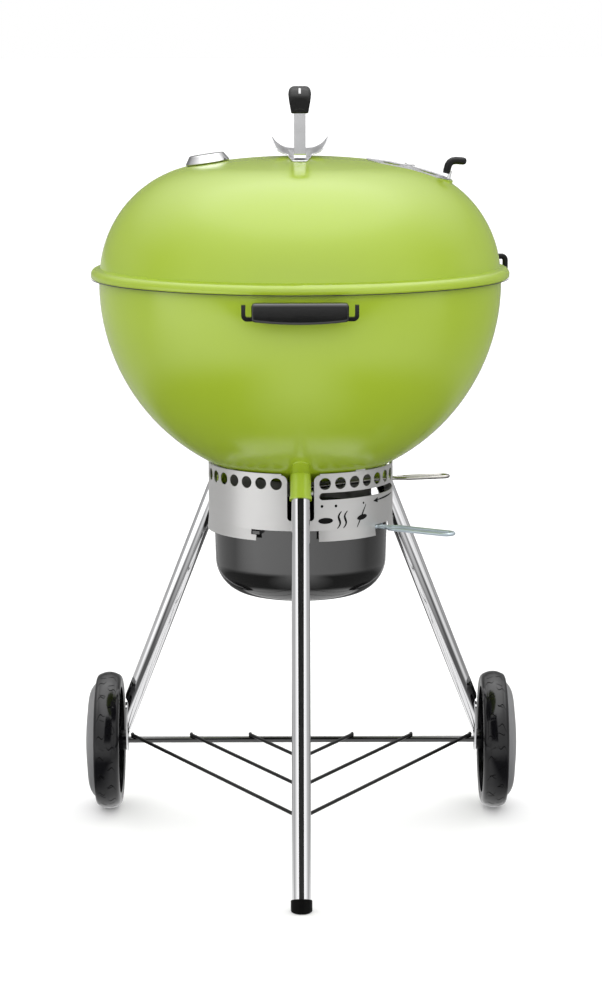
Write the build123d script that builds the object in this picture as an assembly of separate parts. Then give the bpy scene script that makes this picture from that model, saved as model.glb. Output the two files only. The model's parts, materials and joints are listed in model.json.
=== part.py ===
"""Kettle charcoal grill. Millimetres, +Z up, the front faces -Y.

Everything is drawn around the upright axis of the kettle and then moved by FRAME_SHIFT,
so that the origin lies on the floor under the middle of the footprint.
Angles named PHI are counted from the front toward the right, seen from above.
"""

import os
from math import atan, cos, degrees, radians, sin, sqrt

from build123d import *

os.makedirs("parts", exist_ok=True)

# Where the kettle axis stands behind the middle of the footprint
FRAME_SHIFT = 25.95

# Sheet steel and enamel
SHEET = 1.2

# Bowl
BOWL_R = 280.5
BOWL_Z = 798.0
RIM_BEAD_R = 4.5
RIM_BEAD_AT = 282.3
RIM_BEAD_Z = 814.4
VENT_INNER = 34.0
VENT_OUTER = 106.0
VENT_WIDTH = 22.0
SHAFT_HOLE = 5.3

# Lid
CROWN_R = 890.0
CROWN_TOP = 974.1
KNUCKLE_R = 157.5
KNUCKLE_AT = 122.2
KNUCKLE_Z = 806.3
KNUCKLE_ANGLE = 80.4

# Legs
LEG_FOOT_R = 362.1
LEG_LEAN = 0.444
LEG_R = 12.7
LEG_WALL = 1.3
FOOT_BORE = 6.0
LEG_STRETCH = sqrt(1 + LEG_LEAN**2)
LEG_ANGLE = degrees(atan(LEG_LEAN))
LEG_PHIS = {"front": 0, "left": -120, "right": 120}
SOCKET_R = 14.5
SOCKET_BOTTOM = 512.0
BUTTON_Z = 521.0
BUTTON_R = 3.2
BUTTON_PROUD = 3.0

# Axle, wheels and rack
AXLE_R = 4.75
AXLE_Z = 101.5
TAB_X = 260.0
TAB_THICK = 2.5
WHEEL_IN = 267.0
WHEEL_OUT = 305.0
WHEEL_R = 101.5
CAP_R = 86.0
CAP_APEX = 320.0
RACK_WIRE = 5.0
RACK_ENDS = (252.0, 164.0, 76.0)
RACK_APEXES = (-296.5, -137.0, 21.0)
RACK_Z = AXLE_Z + AXLE_R + RACK_WIRE / 2 + 0.05
SPINE_Z = RACK_Z - RACK_WIRE + 0.4

# Ash ring, ash pot and sweep
RING_R = 130.0
RING_TOP = 547.0
RING_EDGE = 468.0
LIP_BOTTOM = 453.0
NOTCH_HALF = 8.2
NOTCH_FLOOR = 482.0
HOLE_Z = 533.0
HOLE_R = 8.3
SLOT_Z = 515.5
SLOT_HIGH = 10.0
SLOT_PHIS = (13.6, 106.8)
PANEL_CORNER = 8.0
LEVER_PHI = 105.0
LEVER_END = 221.0
COTTER_Z = 529.5
BLADE_END = 110.0
POT_RIM_R = 122.6
POT_WALL_R = 120.6
POT_RIM_Z = 473.0
POT_FLOOR = 359.5
POT_CORNER = 50.0
POT_HANDLE_PHI = 57.5
POT_HANDLE_Z = 464.2
LUG_PHIS = (-28, 92, 212)

# Bowl handles
HANDLE_TOP = 800.0
HANDLE_BOTTOM = 772.0
HANDLE_FACE = 325.0
HANDLE_WIDE = 126.0
HOOK_WIDE = 152.0

# Lid handle
POST_AT = 78.0
POST_WIDE = 16.0
GRIP_LONG = 166.0

# Lid damper and thermometer
DAMPER_AT = 151.9
DAMPER_Z = 959.0
DAMPER_TILT = 13.6
DAMPER_R = 60.5
DAMPER_DISH = 450.0
DAMPER_HOLES_AT = 36.0
DAMPER_HOLE_R = 13.0
KNOB_AT = 57.0
GAUGE_AT = 128.0
GAUGE_TILT = 8.27

# Grates
COOK_Z = 790.0
COOK_R = 267.0
LEAF_X = 114.0
COAL_Z = 622.0
COAL_R = 211.0


def around(phi):
    """Turn something drawn at the front to the angle phi."""
    return Rot(0, 0, phi)


def spun(profile):
    """Spin a closed outline in the XZ plane around the kettle axis."""
    return revolve(make_face(profile), axis=Axis.Z)


def rod(points, diameter, bend):
    """A round wire along points, with bends of one radius."""
    path = FilletPolyline(*points, radius=bend)
    start = Plane(origin=path @ 0, z_dir=path % 0)
    return sweep(start * Circle(diameter / 2), path=path)


def bar(start, end, diameter):
    """A straight round bar between two points."""
    middle = (Vector(*start) + Vector(*end)) * 0.5
    way = Vector(*end) - Vector(*start)
    return Plane(origin=middle, z_dir=way) * Cylinder(diameter / 2, way.length)


def ball(radius):
    """A full ball around the middle of the bowl."""
    return Pos(0, 0, BOWL_Z) * Sphere(radius)


def ball_skin(inner, outer):
    return ball(outer) - ball(inner)


def slot_hole(inner, outer, width, low, high):
    """An upright block with round ends that runs outward at the front."""
    long = outer - inner - width
    outline = Pos(0, -(inner + outer) / 2) * Rot(0, 0, 90) * SlotCenterToCenter(long, width)
    return Pos(0, 0, low) * extrude(outline, high - low)


def bowl_shell():
    inner = BOWL_R - SHEET
    top = RIM_BEAD_Z
    low = BOWL_Z - BOWL_R
    floor = BOWL_Z - inner
    half = sqrt(0.5)
    section = [
        Line((0, 0, low), (0, 0, floor)),
        ThreePointArc((0, 0, floor), (inner * half, 0, BOWL_Z - inner * half), (inner, 0, BOWL_Z)),
        Line((inner, 0, BOWL_Z), (inner, 0, top)),
        Line((inner, 0, top), (BOWL_R, 0, top)),
        Line((BOWL_R, 0, top), (BOWL_R, 0, BOWL_Z)),
        ThreePointArc((BOWL_R, 0, BOWL_Z), (BOWL_R * half, 0, BOWL_Z - BOWL_R * half), (0, 0, low)),
    ]
    shell = spun(section)
    shell += Pos(0, 0, RIM_BEAD_Z) * Torus(RIM_BEAD_AT, RIM_BEAD_R)
    for phi in (60, 180, 300):
        shell -= around(phi) * slot_hole(VENT_INNER, VENT_OUTER, VENT_WIDTH, 500, 560)
    shell -= Pos(0, 0, 517) * Cylinder(SHAFT_HOLE, 20)
    for tool in handle_bolt_bores() + [ring_rivet_bore(phi) for phi in (40, 160, 280)]:
        shell -= tool
    return shell


def leg_line(low, high, radius):
    """A round bar on the axis of the front leg between two heights."""
    base = Plane(origin=(0, -LEG_FOOT_R, 0), x_dir=(1, 0, 0), z_dir=(0, LEG_LEAN, 1))
    long = (high - low) * LEG_STRETCH
    return base * Pos(0, 0, (low + high) / 2 * LEG_STRETCH) * Cylinder(radius, long)


def leg_point(height):
    return (0, -LEG_FOOT_R + LEG_LEAN * height, height)


def button_bore(radius):
    """The cross hole for the snap button, on the right-hand side of the front socket."""
    x, y, z = leg_point(BUTTON_Z)
    return Pos(12, y, z) * Rot(0, 90, 0) * Cylinder(radius, 14)


def leg_socket():
    body = leg_line(SOCKET_BOTTOM, 565, SOCKET_R)
    pad = ball_skin(BOWL_R, BOWL_R + 1.2) & slot_hole(112, 164, 23, 535, 580)
    collar = leg_line(SOCKET_BOTTOM, SOCKET_BOTTOM + 4, SOCKET_R + 0.9)
    body = body + collar + pad
    body -= leg_line(500, 575, LEG_R + 0.1)
    body -= ball(BOWL_R)
    return body - button_bore(BUTTON_R + 0.5)


def leg_tube(low):
    tube = leg_line(low, 560, LEG_R) - leg_line(low - 5, 565, LEG_R - LEG_WALL)
    tube -= ball(BOWL_R + 0.8)
    return tube - button_bore(BUTTON_R + 0.5)


def front_leg():
    tube = leg_tube(FOOT_BORE)
    x, y, z = leg_point(SPINE_Z)
    return tube - Pos(0, y + 12, z) * Rot(90, 0, 0) * Cylinder(RACK_WIRE / 2 + 0.1, 20)


def axle_y():
    return (LEG_FOOT_R - LEG_LEAN * AXLE_Z) / 2


def rear_leg(side):
    """A rear leg: round above, cut flat by an upright plane and drilled for the axle."""
    tube = around(side * 120) * leg_tube(40)
    tube &= Pos(side * (TAB_X - 200), 0, 400) * Box(400, 900, 800)
    high = 158.0
    top = ((LEG_FOOT_R - LEG_LEAN * high) / 2, high)
    low = (axle_y(), AXLE_Z - 2)
    long = sqrt((top[0] - low[0]) ** 2 + (top[1] - low[1]) ** 2)
    lean = degrees(atan((low[0] - top[0]) / (top[1] - low[1])))
    outline = Pos((top[0] + low[0]) / 2, (top[1] + low[1]) / 2) * Rot(0, 0, 90 + lean)
    outline = outline * SlotCenterToCenter(long, 29)
    face = TAB_X - TAB_THICK if side > 0 else -TAB_X
    tab = extrude(Plane.YZ.offset(face) * outline, TAB_THICK)
    bore = Pos(side * TAB_X, axle_y(), AXLE_Z) * Rot(0, 90, 0) * Cylinder(AXLE_R + 0.1, 20)
    return tube + tab - bore


def foot_cap():
    cap = leg_line(-12, 13.5, LEG_R + 1.6)
    cap = fillet(cap.edges().filter_by(GeomType.CIRCLE).sort_by(Axis.Z)[-1], 1.2)
    cap -= leg_line(FOOT_BORE, 30, LEG_R + 0.05)
    cap -= Pos(0, -LEG_FOOT_R, -50) * Box(200, 200, 100)
    rim = cap.edges().group_by(Axis.Z)[0]
    return fillet(rim, 1.6)


def snap_button():
    x, y, z = leg_point(BUTTON_Z)
    long = SOCKET_R + BUTTON_PROUD - 9.0
    pin = Pos(9.0 + long / 2, y, z) * Rot(0, 90, 0) * Cylinder(BUTTON_R, long)
    crown = pin.edges().filter_by(GeomType.CIRCLE).sort_by(Axis.X)[-1]
    pin = fillet(crown, 1.6)
    return pin + Pos(8.2, y, z) * Rot(0, 90, 0) * Cylinder(4.2, 1.6)


def button_spring():
    """A leaf bent to a V inside the tube, behind the button."""
    x, y, z = leg_point(BUTTON_Z)
    arm = [(7.3, -9), (7.3, 14), (4, 17), (-7.6, -3), (-6.6, -3.6), (3.7, 14.4), (6.1, 13), (6.1, -9)]
    leaf = extrude(Plane.XZ * make_face(Polyline(*arm, close=True)), 2.5, both=True)
    return Pos(0, y, z) * Rot(-LEG_ANGLE, 0, 0) * leaf


def axle():
    return Pos(0, axle_y(), AXLE_Z) * Rot(0, 90, 0) * Cylinder(AXLE_R, 2 * 311)


def axle_nut(side):
    nut = Cylinder(9, 4.5) - Cylinder(AXLE_R, 6)
    nut = chamfer(nut.edges().sort_by(Axis.Z)[-1:], 1.0)
    return Pos(side * 307.8, axle_y(), AXLE_Z) * Rot(0, side * 90, 0) * nut


def tread_cut(height, turn):
    """One chevron sipe across the shoulder of the tyre; height counts from the middle of the tread."""
    arms = Pos(0, 0, 3.4) * Rot(25, 0, 0) * Box(5, 1.3, 9)
    arms += Pos(0, 0, -3.4) * Rot(-25, 0, 0) * Box(5, 1.3, 9)
    return Rot(0, 0, turn) * Pos(WHEEL_R, 0, height) * arms


def wheel_body():
    """The moulded wheel around +Z, its middle at zero and its outer face upward."""
    half = (WHEEL_OUT - WHEEL_IN) / 2
    section = [
        Line((79, 0, -half + 1.5), (88, 0, -half)),
        ThreePointArc((88, 0, -half), (95.5, 0, -half + 2.2), (98.6, 0, -half + 7)),
        ThreePointArc((98.6, 0, -half + 7), (WHEEL_R, 0, 0), (98.6, 0, half - 7)),
        ThreePointArc((98.6, 0, half - 7), (95.5, 0, half - 2.2), (90.6, 0, half - 0.8)),
        Line((90.6, 0, half - 0.8), (79, 0, half - 0.8)),
        Line((79, 0, half - 0.8), (79, 0, -half + 1.5)),
    ]
    body = spun(section)
    body += Pos(0, 0, 7) * (Cylinder(80, 6) - Cylinder(10, 10))
    hub = WHEEL_OUT - TAB_X - 0.4
    body += Pos(0, 0, half - hub / 2) * Cylinder(15, hub)
    for turn in range(0, 360, 45):
        body += Rot(0, 0, turn) * Pos(47, 0, -2) * Box(66, 4, 20)
    body -= Cylinder(AXLE_R + 0.25, 120)
    cuts = [tread_cut(-9.5, turn) for turn in range(0, 360, 24)]
    cuts += [tread_cut(9.5, turn) for turn in range(12, 372, 24)]
    return body - cuts


def wheel_cap():
    """The grey hubcap around +Z, in the same place as wheel_body."""
    half = (WHEEL_OUT - WHEEL_IN) / 2
    base = half - 0.7
    apex = half + CAP_APEX - WHEEL_OUT
    thick = 2.0
    crown = 4.6
    edge_r, edge_z = CAP_R - 25, apex - crown
    ball = (edge_r ** 2 + crown ** 2) / (2 * crown)
    mid_z = apex - ball + sqrt(ball ** 2 - (edge_r / 2) ** 2)
    section = [
        Line((0, 0, apex - thick), (0, 0, apex)),
        ThreePointArc((0, 0, apex), (edge_r / 2, 0, mid_z), (edge_r, 0, edge_z)),
        ThreePointArc((edge_r, 0, edge_z), (CAP_R - 8, 0, edge_z - 4.3), (CAP_R, 0, base)),
        Line((CAP_R, 0, base), (CAP_R - thick, 0, base)),
        ThreePointArc((CAP_R - thick, 0, base), (CAP_R - 9, 0, edge_z - 6.4), (edge_r, 0, edge_z - thick)),
        ThreePointArc((edge_r, 0, edge_z - thick), (edge_r / 2, 0, mid_z - thick), (0, 0, apex - thick)),
    ]
    dome = spun(section)
    snap = Pos(0, 0, half + 1) * (Cylinder(78.8, 17) - Cylinder(76.8, 20))
    solid = spun(section[1:3] + [Line((CAP_R, 0, base), (CAP_R, 0, base - 30)),
                                 Line((CAP_R, 0, base - 30), (0, 0, base - 30)),
                                 Line((0, 0, base - 30), (0, 0, apex))])
    return dome + (snap & solid)


def on_axle(side, solid):
    middle = (WHEEL_IN + WHEEL_OUT) / 2
    return Pos(side * middle, axle_y(), AXLE_Z) * Rot(0, side * 90, 0) * solid


def bottom_rack():
    lay = RACK_Z
    behind = axle_y() + AXLE_R + RACK_WIRE / 2 + 0.4
    drop = AXLE_Z - 3
    tail = [(0, behind, drop), (0, behind, lay), (0, axle_y() - 12, lay), (0, axle_y() - 24, SPINE_Z)]
    tail += [(0, leg_point(SPINE_Z)[1] + 4, SPINE_Z)]
    rack = rod(tail, RACK_WIRE, 3.5)
    for end, apex in zip(RACK_ENDS, RACK_APEXES):
        x = min(end, TAB_X - TAB_THICK - RACK_WIRE / 2 - 0.5)
        run = [(-x, behind, drop), (-x, behind, lay), (-x, axle_y(), lay), (0, apex, lay)]
        run += [(x, axle_y(), lay), (x, behind, lay), (x, behind, drop)]
        rack += rod(run, RACK_WIRE, 3.0)
    return rack


def ring_sector(inner, outer, low, high, start, end):
    """A piece of an upright band from the angle start to the angle end."""
    points = [(0, 0)]
    reach = outer * 1.6
    steps = max(2, int((end - start) / 30) + 1)
    for step in range(steps + 1):
        phi = radians(start + (end - start) * step / steps)
        points.append((reach * sin(phi), -reach * cos(phi)))
    wedge = Pos(0, 0, low) * extrude(make_face(Polyline(*points, close=True)), high - low)
    middle = (low + high) / 2
    band = Pos(0, 0, middle) * (Cylinder(outer, high - low) - Cylinder(inner, high - low + 2))
    return band & wedge


def ring_rivet_bore(phi, radius=2.6, low=-6, high=6):
    """A bore through the bowl at right angles to its wall, above the ash ring."""
    lean = 24.9
    return around(phi) * Pos(0, 0, BOWL_Z) * Rot(180 - lean, 0, 0) * Pos(0, 0, BOWL_R + (low + high) / 2) * (
        Cylinder(radius, high - low)
    )


def ash_ring():
    inner = RING_R - SHEET
    high = RING_TOP - RING_EDGE
    band = Pos(0, 0, RING_EDGE + high / 2) * (Cylinder(RING_R, high) - Cylinder(inner, high + 2))
    band -= ball(BOWL_R)
    wide = 2 * RING_R * sin(radians(NOTCH_HALF))
    for phi in LEG_PHIS.values():
        outline = Pos(0, NOTCH_FLOOR + 50) * RectangleRounded(wide, 100, 5)
        for side in (-1, 1):
            edge = side * (wide / 2 + PANEL_CORNER)
            low = RING_TOP - 2 - PANEL_CORNER
            corner = Pos(side * wide / 2, low + 20) * Rectangle(2 * PANEL_CORNER, 40)
            corner -= Pos(edge, low) * Circle(PANEL_CORNER)
            corner -= Pos(edge, low - 20) * Rectangle(2 * PANEL_CORNER, 40)
            outline += corner
        band -= around(phi) * extrude(Plane.XZ.offset(RING_R - 20) * outline, 40)
    for panel in (0, 120, 240):
        for step in range(10):
            hole = Rot(90, 0, 0) * Cylinder(HOLE_R, 20)
            band -= around(panel + 15 + 10 * step) * Pos(0, -RING_R, HOLE_Z) * hole
    low, top = SLOT_Z - SLOT_HIGH / 2, SLOT_Z + SLOT_HIGH / 2
    band -= ring_sector(inner - 4, RING_R + 4, low, top, SLOT_PHIS[0], SLOT_PHIS[1])
    for phi in SLOT_PHIS:
        band -= around(phi) * Pos(0, -RING_R, SLOT_Z) * Rot(90, 0, 0) * Cylinder(SLOT_HIGH / 2, 20)
    for start in (-109, 11, 131):
        lip = Pos(0, 0, (LIP_BOTTOM + RING_EDGE) / 2) * (
            Cone(RING_R + 1.6, RING_R, RING_EDGE - LIP_BOTTOM)
            - Cone(RING_R + 1.6 - SHEET, RING_R - SHEET, RING_EDGE - LIP_BOTTOM)
        )
        band += lip & ring_sector(100, 150, LIP_BOTTOM - 1, RING_EDGE + 1, start, start + 81)
    for phi in LUG_PHIS:
        band -= ring_sector(inner - 6, RING_R + 6, 461.0, RING_EDGE, phi - 3.6, phi + 1)
    band -= ring_sector(inner - 6, RING_R + 6, LIP_BOTTOM - 2, RING_EDGE, 52.5, 70.5)
    for phi in (40, 160, 280):
        tab = ball_skin(BOWL_R + 0.05, BOWL_R + 1.7) & around(phi) * Pos(0, 9.5 - RING_R, 540) * Box(17, 17, 60)
        band += tab
        band -= ring_rivet_bore(phi)
    return band


def ash_ring_rivets():
    rivets = []
    for phi in (40, 160, 280):
        pin = ring_rivet_bore(phi, 2.5, -1.3, 1.8)
        pin += ring_rivet_bore(phi, 4.5, 1.75, 3.4)
        pin += ring_rivet_bore(phi, 4.5, -2.9, -1.25)
        rivets.append(pin)
    return rivets


def bowl_lining(inner, outer, reach):
    """Part of a ball skin near the bottom of the bowl, with a hole in its middle."""
    hole = 8.0

    def floor(radius, r):
        return BOWL_Z - sqrt(radius**2 - r**2)

    middle = (hole + reach) / 2
    section = [
        Line((hole, 0, floor(outer, hole)), (hole, 0, floor(inner, hole))),
        ThreePointArc(*[(r, 0, floor(inner, r)) for r in (hole, middle, reach)]),
        Line((reach, 0, floor(inner, reach)), (reach, 0, floor(outer, reach))),
        ThreePointArc(*[(r, 0, floor(outer, r)) for r in (reach, middle, hole)]),
    ]
    return spun(section)


def sweep_blades():
    """Three curved blades on a hub; each has a scraping fin along one side."""
    outer = BOWL_R - SHEET - 0.5
    skin = bowl_lining(outer - 2, outer, BLADE_END + 10)
    fins = bowl_lining(outer - 8, outer, BLADE_END + 10)
    blades = Pos(0, 0, 522.4) * Cylinder(17, 5.4)
    for phi in (0, 120, 240):
        blades += skin & around(phi) * slot_hole(0, BLADE_END, 36, 500, 600)
        blades += fins & around(phi) * Pos(16.0, -62, 545) * Box(2.2, 70, 80)
    return blades - Pos(0, 0, 522) * Cylinder(5.0, 20)


def sweep_lever():
    """Shaft, cranked arm and wire loop, drawn at the front and turned to the rest angle."""
    shaft = Pos(0, 0, 516.5) * Cylinder(4.9, 33)
    boss = Pos(0, 0, 509) * Cylinder(9.5, 12)
    arm = bar((0, -4, 506.5), (0, -116, SLOT_Z), 6.0)
    arm = arm & Box(60, 400, 2000)
    loop = [(-3.2, -104, SLOT_Z), (-3.2, -138, SLOT_Z), (-9.6, -152, SLOT_Z), (-9.6, -LEVER_END + 2.4, SLOT_Z)]
    loop += [(9.6, -LEVER_END + 2.4, SLOT_Z), (9.6, -152, SLOT_Z), (3.2, -138, SLOT_Z), (3.2, -104, SLOT_Z)]
    wire = rod(loop, 4.8, 9.0)
    lever = shaft + boss + arm + wire
    lever -= Pos(0, 0, COTTER_Z) * Rot(0, 90, 0) * Cylinder(1.1, 30)
    return around(LEVER_PHI) * lever


def sweep_cotter():
    pin = Pos(0, 0, COTTER_Z) * Rot(0, 90, 0) * Cylinder(1.0, 26)
    eye = Pos(15.2, 0, COTTER_Z) * Rot(90, 0, 0) * (Cylinder(3.4, 1.6) - Cylinder(1.7, 4))
    washer = Pos(0, 0, 526.0) * (Cylinder(9, 1.2) - Cylinder(5.1, 4))
    return around(LEVER_PHI) * (pin + eye), washer


def pot_outline(skin):
    """The right-hand half of the pot section, drawn skin inside its outer face."""
    corner = POT_CORNER - skin
    middle_r = POT_WALL_R - POT_CORNER
    middle_z = POT_FLOOR + POT_CORNER
    half = sqrt(0.5)
    return [
        Line((0, 0, middle_z - corner), (middle_r, 0, middle_z - corner)),
        ThreePointArc(
            (middle_r, 0, middle_z - corner),
            (middle_r + corner * half, 0, middle_z - corner * half),
            (middle_r + corner, 0, middle_z),
        ),
        Line((middle_r + corner, 0, middle_z), (POT_RIM_R - skin, 0, POT_RIM_Z)),
    ]


def ash_pot():
    outer = pot_outline(0) + [
        Line((POT_RIM_R, 0, POT_RIM_Z), (0, 0, POT_RIM_Z)),
        Line((0, 0, POT_RIM_Z), (0, 0, POT_FLOOR)),
    ]
    inner = pot_outline(1.4) + [
        Line((POT_RIM_R - 1.4, 0, POT_RIM_Z), (0, 0, POT_RIM_Z)),
        Line((0, 0, POT_RIM_Z), (0, 0, POT_FLOOR + 1.4)),
    ]
    pot = spun(outer) - spun(inner)
    pot += Pos(0, 0, POT_RIM_Z) * Torus(POT_RIM_R - 0.4, 1.6)
    for phi in LUG_PHIS:
        pot += around(phi) * Pos(0, -124, 464) * Box(11, 15, 4.4)
    return pot


def ash_pot_handle():
    """Wire loop with a saddle that is welded to the pot wall, in front and then turned."""
    z = POT_HANDLE_Z
    root = POT_RIM_R + 1.6
    loop = [(-14, -root, z), (-3.1, -root - 4, z), (-3.1, -142, z), (-11, -156, z), (-11, -247, z)]
    loop += [(11, -247, z), (11, -156, z), (3.1, -142, z), (3.1, -root - 4, z), (14, -root, z)]
    wire = rod(loop, 5.0, (3.0, 6.0, 8.0, 10.9, 10.9, 8.0, 6.0, 3.0))
    saddle = Pos(0, -POT_RIM_R - 0.4, z) * Box(32, 5, 7)
    shape = wire + saddle
    shape -= Pos(0, 0, z) * Cylinder(POT_RIM_R - 0.1, 40)
    return around(POT_HANDLE_PHI) * shape


def handle_bolt_bores(radius=3.1, low=-8, high=30):
    """Two bores through the bowl wall at each bowl handle."""
    bores = []
    for phi in (0, 180):
        for x in (-44, 44):
            y = -sqrt(BOWL_R**2 - x**2) - (low + high) / 2
            bores.append(around(phi) * Pos(x, y, 786) * Rot(90, 0, 0) * Cylinder(radius, high - low))
    return bores


def bowl_handle():
    """Nylon grip with two feet and an upward hook at each end, at the front."""
    half = HANDLE_WIDE / 2
    belly = HANDLE_BOTTOM + 4.0
    edge = [
        Line((-half, belly), (-half, HANDLE_TOP)),
        Line((-half, HANDLE_TOP), (half, HANDLE_TOP)),
        Line((half, HANDLE_TOP), (half, belly)),
        ThreePointArc((half, belly), (0, HANDLE_BOTTOM), (-half, belly)),
    ]
    outline = make_face(edge)
    outline = fillet(outline.vertices(), 5.0)
    grip = extrude(Plane.XZ.offset(HANDLE_FACE - 18) * outline, 18)
    grip = fillet(grip.edges().group_by(Axis.Y)[0], 4.0)
    grip = fillet(grip.edges().group_by(Axis.Y)[-1], 3.0)
    for side in (-1, 1):
        edge = HOOK_WIDE / 2 - 2.6
        path = [(side * 56, 779.4), (side * edge, 779.4), (side * edge, 797.6)]
        ribbon = FilletPolyline(*path, radius=5)
        hook = extrude(Plane.XZ.offset(HANDLE_FACE - 15) * trace(ribbon, 5.4), 12)
        grip += hook
        foot = Pos(side * 44, -292, 786) * Box(20, 46, 20)
        foot = fillet(foot.edges().filter_by(Axis.Y), 4)
        grip += foot
    grip -= ball(BOWL_R)
    grip -= Pos(0, 0, 786) * Cylinder(BOWL_R, 40)
    for tool in handle_bolt_bores(3.1, -8, 22)[:2]:
        grip -= tool
    return grip


def bowl_handle_bolts():
    bolts = []
    for x in (-44, 44):
        wall = sqrt(BOWL_R**2 - x**2)
        shank = Pos(x, -wall - 8.5, 786) * Rot(90, 0, 0) * Cylinder(3.0, 25)
        head = Pos(x, -wall + 5.7, 786) * Rot(90, 0, 0) * Cylinder(5.5, 3.5)
        bolts.append(shank + head)
    return bolts


def lid_hanger():
    """A small upright loop on a plate, at the front and then turned to the right rear."""
    loop = [(0, -279, 792), (0, -318, 792), (0, -318, 825), (0, -307, 825)]
    wire = rod(loop, 8.0, (11.0, 6.0))
    tip = Pos(0, -307, 825) * Sphere(4.0)
    plate = Pos(0, -284, 792) * Box(34, 14, 22)
    plate = fillet(plate.edges().filter_by(Axis.Y), 5)
    plate &= ball(BOWL_R + 3.5) & Pos(0, 0, 792) * Cylinder(BOWL_R + 3.5, 60)
    shape = wire + tip + plate
    shape -= ball(BOWL_R)
    shape -= Pos(0, 0, 820) * Cylinder(BOWL_R, 44)
    return around(112) * shape


def grate_tabs(z, reach, phis):
    """Small shelves welded to the inside of the bowl."""
    tabs = []
    for phi in phis:
        wall = sqrt((BOWL_R - SHEET) ** 2 - (BOWL_Z - z) ** 2)
        shelf = Pos(0, -(wall - reach / 2 + 5), z - 1) * Box(22, reach + 10, 2)
        web = Pos(0, -(wall - 4), z - 9) * Box(22, 30, 16) - Pos(0, -(wall - 22), z - 10) * Box(30, 32, 18)
        tab = (shelf + web) & ball(BOWL_R - SHEET)
        tabs.append(around(phi) * tab)
    return tabs


def lid_profile(skin):
    """Outer face of the lid from its top to the foot of the dome, drawn skin inside it."""
    crown = CROWN_R - skin
    crown_z = CROWN_TOP - CROWN_R
    knuckle = KNUCKLE_R - skin
    a = radians(KNUCKLE_ANGLE)
    joint = (KNUCKLE_AT + knuckle * cos(a), 0, KNUCKLE_Z + knuckle * sin(a))
    between = (joint[0] / 2, 0, crown_z + sqrt(crown**2 - joint[0] ** 2 / 4))
    low = 822.0 - skin
    foot = (KNUCKLE_AT + sqrt(knuckle**2 - (low - KNUCKLE_Z) ** 2), 0, low)
    a = radians(45)
    bend = (KNUCKLE_AT + knuckle * cos(a), 0, KNUCKLE_Z + knuckle * sin(a))
    top = (0, 0, crown_z + crown)
    return [ThreePointArc(top, between, joint), ThreePointArc(joint, bend, foot)], top, foot


def damper_frame():
    """Placement on the lid damper: local +Z along its tilted axis, local +X outward."""
    return Pos(DAMPER_AT, 0, DAMPER_Z) * Rot(0, DAMPER_TILT, 0)


def gauge_frame():
    """Placement on the thermometer: local +Z along its tilted axis."""
    z = CROWN_TOP - CROWN_R + sqrt(CROWN_R**2 - GAUGE_AT**2)
    return Pos(-GAUGE_AT, 0, z) * Rot(0, -GAUGE_TILT, 0)


def dish(radius, top, thick):
    """A dished round plate on the damper axis, its middle at height top."""
    outer = Pos(0, 0, top - DAMPER_DISH) * Sphere(DAMPER_DISH)
    inner = Pos(0, 0, top - DAMPER_DISH) * Sphere(DAMPER_DISH - thick)
    return (outer - inner) & Pos(0, 0, top) * Cylinder(radius, 60)


def damper_holes():
    return [Rot(0, 0, 45 + 90 * n) * Pos(DAMPER_HOLES_AT, 0, 0) * Cylinder(DAMPER_HOLE_R, 40) for n in range(4)]


def lid_shell():
    outside, top, foot = lid_profile(0)
    inside, top_in, foot_in = lid_profile(SHEET)
    rim = [
        Line(foot, (285.5, 0, 820.2)),
        ThreePointArc((285.5, 0, 820.2), (290.3, 0, 817.0), (292, 0, 811.5)),
        Line((292, 0, 811.5), (291.7, 0, 809.4)),
        ThreePointArc((291.7, 0, 809.4), (290.8, 0, 807.3), (288.6, 0, 806.3)),
        Line((288.6, 0, 806.3), (288.1, 0, 807.4)),
        ThreePointArc((288.1, 0, 807.4), (289.7, 0, 808.2), (290.5, 0, 809.6)),
        Line((290.5, 0, 809.6), (290.8, 0, 811.4)),
        ThreePointArc((290.8, 0, 811.4), (289.3, 0, 816.2), (285.1, 0, 819.0)),
        Line((285.1, 0, 819.0), foot_in),
    ]
    shell = spun(outside + rim + inside + [Line(top_in, top)])
    full = spun(outside + [Line(foot, (0, 0, foot[2])), Line((0, 0, foot[2]), top)])
    hollow = spun(inside + [Line(foot_in, (0, 0, foot_in[2])), Line((0, 0, foot_in[2]), top_in)])
    place = damper_frame()
    seat = DAMPER_R + 2.0
    shell -= place * Cylinder(seat, 60)
    wall = place * (Cylinder(seat + SHEET, 60) - Cylinder(seat, 70))
    below_top = place * (Pos(0, 0, -DAMPER_DISH) * Sphere(DAMPER_DISH))
    below_floor = place * (Pos(0, 0, -DAMPER_DISH) * Sphere(DAMPER_DISH - SHEET))
    shell += (wall & below_top) - hollow
    shell += (wall & full) - below_floor
    shell += place * dish(seat + SHEET, 0, SHEET)
    for hole in damper_holes():
        shell -= place * hole
    shell -= place * Cylinder(3.1, 40)
    shell -= gauge_frame() * Cylinder(3.6, 40)
    for y in (-66, 66):
        shell -= Pos(0, y, 970) * Cylinder(3.2, 30)
    return shell


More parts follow.
